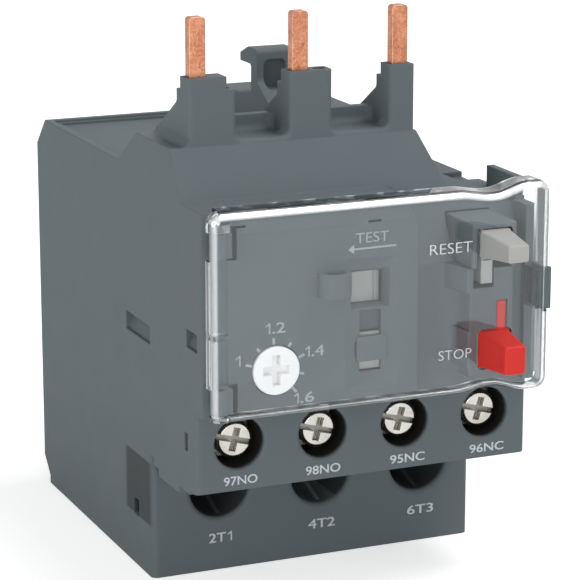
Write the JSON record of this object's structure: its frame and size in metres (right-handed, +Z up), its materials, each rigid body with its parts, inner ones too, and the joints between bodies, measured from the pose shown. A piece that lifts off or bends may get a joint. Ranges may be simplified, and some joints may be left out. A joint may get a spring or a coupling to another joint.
{
  "type": "thermal overload relay",
  "caption": "Thermal overload relay with contact blades, hinged clear cover, setting dial, reset and stop buttons, test slide and trip mechanism inside.",
  "frame": {"origin": "middle of the whole box, on the plane of the underside", "axes": "+Z up towards the contact blades, +X to the right and +Y to the back as seen from the front panel"},
  "size_m": [0.0452, 0.073, 0.073],
  "materials": {
    "housing_plastic": "fine moulded grain, satin",
    "clear_plastic": "polished clear plastic",
    "grey_button": "satin",
    "red_button": "satin",
    "white_dial": "satin",
    "inner_plastic": "plain moulded",
    "plated_steel": "zinc plated",
    "copper": "drawn bare copper",
    "brass": "stamped",
    "heater_alloy": "oxidised resistance strip",
    "bimetal": "rolled strip"
  },
  "bodies": {
    "base": {"housing": "housing_plastic", "rear_cover": "housing_plastic", "reset_hood": "housing_plastic", "lever_pin": "plated_steel", "reset_spring": "plated_steel", "stop_spring": "plated_steel", "power_screws": "plated_steel", "power_clamps": "plated_steel", "aux_screws": "plated_steel", "aux_clamps": "plated_steel", "nc_contacts": "brass", "no_contacts": "brass", "line_blade_1": "copper", "load_bar_1": "copper", "heater_1": "heater_alloy", "bimetal_1": "bimetal", "line_blade_2": "copper", "load_bar_2": "copper", "heater_2": "heater_alloy", "bimetal_2": "bimetal", "line_blade_3": "copper", "load_bar_3": "copper", "heater_3": "heater_alloy", "bimetal_3": "bimetal"},
    "cover": {"clear_cover": "clear_plastic"},
    "reset": {"reset_button": "grey_button"},
    "stop": {"stop_button": "red_button"},
    "dial": {"current_dial": "white_dial", "dial_cam": "white_dial"},
    "test": {"test_slider": "grey_button"},
    "flag": {"trip_flag": "grey_button"},
    "slide": {"slide_bar": "inner_plastic"},
    "lever": {"trip_lever": "inner_plastic", "compensating_strip": "bimetal"},
    "carrier": {"contact_carrier": "inner_plastic", "nc_bridge": "brass", "no_bridge": "brass"}
  },
  "joints": [
    {"name": "cover_hinge", "type": "hinge", "parent": "base", "child": "cover", "pos_m": [-0.02105, -0.0279, 0.039], "axis": [0, 0, -1], "range_deg": [0, 110]},
    {"name": "reset_push", "type": "slide", "parent": "base", "child": "reset", "axis": [0, 1, 0], "range_m": [0, 0.0025], "stiffness_N_per_m": 300, "springref_m": -0.001, "deforming": ["reset_spring"]},
    {"name": "stop_push", "type": "slide", "parent": "base", "child": "stop", "axis": [0, 1, 0], "range_m": [0, 0.0025], "stiffness_N_per_m": 300, "springref_m": -0.001, "deforming": ["stop_spring"]},
    {"name": "dial_turn", "type": "hinge", "parent": "base", "child": "dial", "pos_m": [-0.0133, -0.0253, 0.03155], "axis": [0, 1, 0], "range_deg": [0, 215]},
    {"name": "test_slide", "type": "slide", "parent": "base", "child": "test", "axis": [-1, 0, 0], "range_m": [0, 0.002], "stiffness_N_per_m": 200, "springref_m": -0.0005},
    {"name": "bar_slide", "type": "slide", "parent": "base", "child": "slide", "axis": [1, 0, 0], "range_m": [0, 0.002], "stiffness_N_per_m": 300, "springref_m": -0.0005},
    {"name": "lever_turn", "type": "hinge", "parent": "base", "child": "lever", "pos_m": [0.01185, 0.0077, 0.038], "axis": [0, 0, -1], "range_deg": [0, 19]},
    {"name": "carrier_slide", "type": "slide", "parent": "base", "child": "carrier", "axis": [0, 1, 0], "range_m": [0, 0.0015]},
    {"name": "flag_slide", "type": "slide", "parent": "base", "child": "flag", "axis": [-1, 0, 0], "range_m": [0, 0.0013]}
  ],
  "couplings": [
    {"joint": "lever_turn", "follows": "bar_slide", "rad_per_m": 165.8},
    {"joint": "carrier_slide", "follows": "bar_slide", "ratio": 0.75},
    {"joint": "flag_slide", "follows": "bar_slide", "ratio": 0.65}
  ]
}
